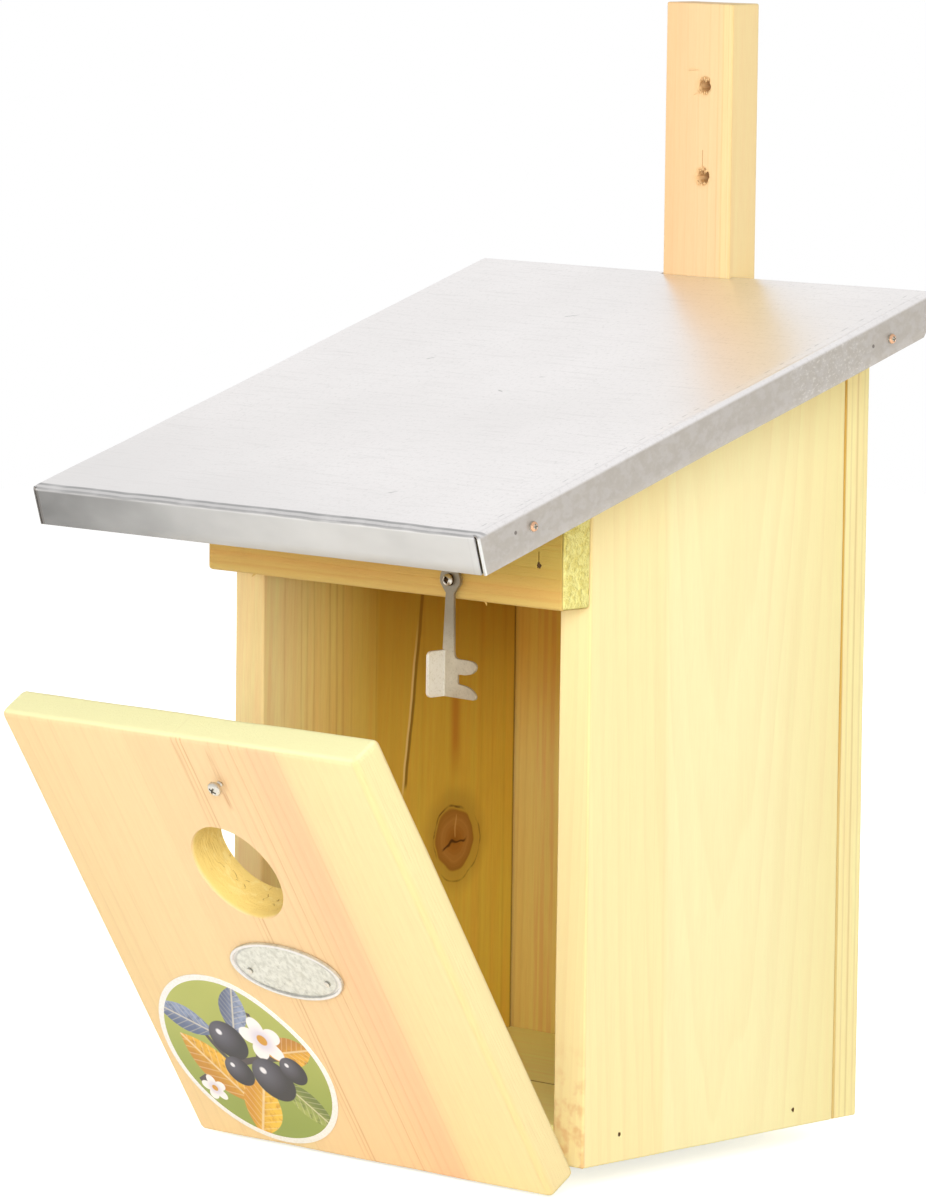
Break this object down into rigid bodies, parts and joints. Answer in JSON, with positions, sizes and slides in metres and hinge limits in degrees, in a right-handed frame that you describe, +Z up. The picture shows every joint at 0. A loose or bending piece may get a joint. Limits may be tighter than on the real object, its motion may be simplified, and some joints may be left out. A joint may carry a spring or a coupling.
{
  "type": "bird nest box",
  "caption": "Wooden nest box for small birds with a round entrance, a hinged front held by a swinging latch, a folded metal roof and a batten to hang it by.",
  "frame": {"origin": "on the rear face of the hanging batten, on the case's middle plane, midway between the heights of the batten's hanging holes", "axes": "+X to the right seen from the front, +Y to the back, towards the wall, +Z up"},
  "size_m": [0.1792, 0.23, 0.3358],
  "materials": {
    "pine_pale": "planed, bare",
    "pine_warm": "planed, bare",
    "pine_golden": "planed, bare",
    "roof_sheet": "galvanised, smooth",
    "zinc_steel": "zinc plated",
    "plain_steel": "bare, dull",
    "copper_screw": "copper plated",
    "badge": "pressed, pebbled field, raised rim",
    "picture": "printed, satin"
  },
  "bodies": {
    "case": {"back_nail_left_high": "plain_steel", "back_nail_left_low": "plain_steel", "back_nail_left_mid": "plain_steel", "back_nail_right_high": "plain_steel", "back_nail_right_low": "plain_steel", "back_nail_right_mid": "plain_steel", "back_panel": "pine_golden", "batten_screw_high": "zinc_steel", "batten_screw_low": "zinc_steel", "flange_screw_left_front": "copper_screw", "flange_screw_left_rear": "copper_screw", "flange_screw_right_front": "copper_screw", "flange_screw_right_rear": "copper_screw", "floor_front_board": "pine_golden", "floor_nail_left_front": "plain_steel", "floor_nail_left_rear": "plain_steel", "floor_nail_right_front": "plain_steel", "floor_nail_right_rear": "plain_steel", "floor_rear_board": "pine_golden", "front_rail": "pine_golden", "hanging_batten": "pine_warm", "hinge_frame_leaf_left": "plain_steel", "hinge_frame_leaf_right": "plain_steel", "hinge_frame_screw_left_inner": "plain_steel", "hinge_frame_screw_left_outer": "plain_steel", "hinge_frame_screw_right_inner": "plain_steel", "hinge_frame_screw_right_outer": "plain_steel", "hinge_pin_left": "plain_steel", "hinge_pin_right": "plain_steel", "latch_screw": "zinc_steel", "latch_spacer": "plain_steel", "left_side_panel": "pine_pale", "rail_nail_left": "plain_steel", "rail_nail_right": "plain_steel", "right_side_panel": "pine_pale", "roof_board": "pine_pale", "roof_nail_left_front": "plain_steel", "roof_nail_left_rear": "plain_steel", "roof_nail_right_front": "plain_steel", "roof_nail_right_rear": "plain_steel", "roof_sheet": "roof_sheet"},
    "door": {"badge_nail_left": "zinc_steel", "badge_nail_right": "zinc_steel", "badge_plate": "badge", "catch_screw": "zinc_steel", "door_panel": "pine_warm", "hinge_door_leaf_left": "plain_steel", "hinge_door_leaf_right": "plain_steel", "hinge_door_screw_left_inner": "plain_steel", "hinge_door_screw_left_outer": "plain_steel", "hinge_door_screw_right_inner": "plain_steel", "hinge_door_screw_right_outer": "plain_steel", "picture_label": "picture"},
    "latch": {"latch_plate": "zinc_steel"}
  },
  "joints": [
    {"name": "door_hinge", "type": "hinge", "parent": "case", "child": "door", "pos_m": [0, -0.1298, -0.29225], "axis": [1, 0, 0], "range_deg": [-32, 140]},
    {"name": "latch_pivot", "type": "hinge", "parent": "case", "child": "latch", "pos_m": [0.0294, -0.1472, -0.12315], "axis": [0, 1, 0], "range_deg": [-110, 110]}
  ]
}
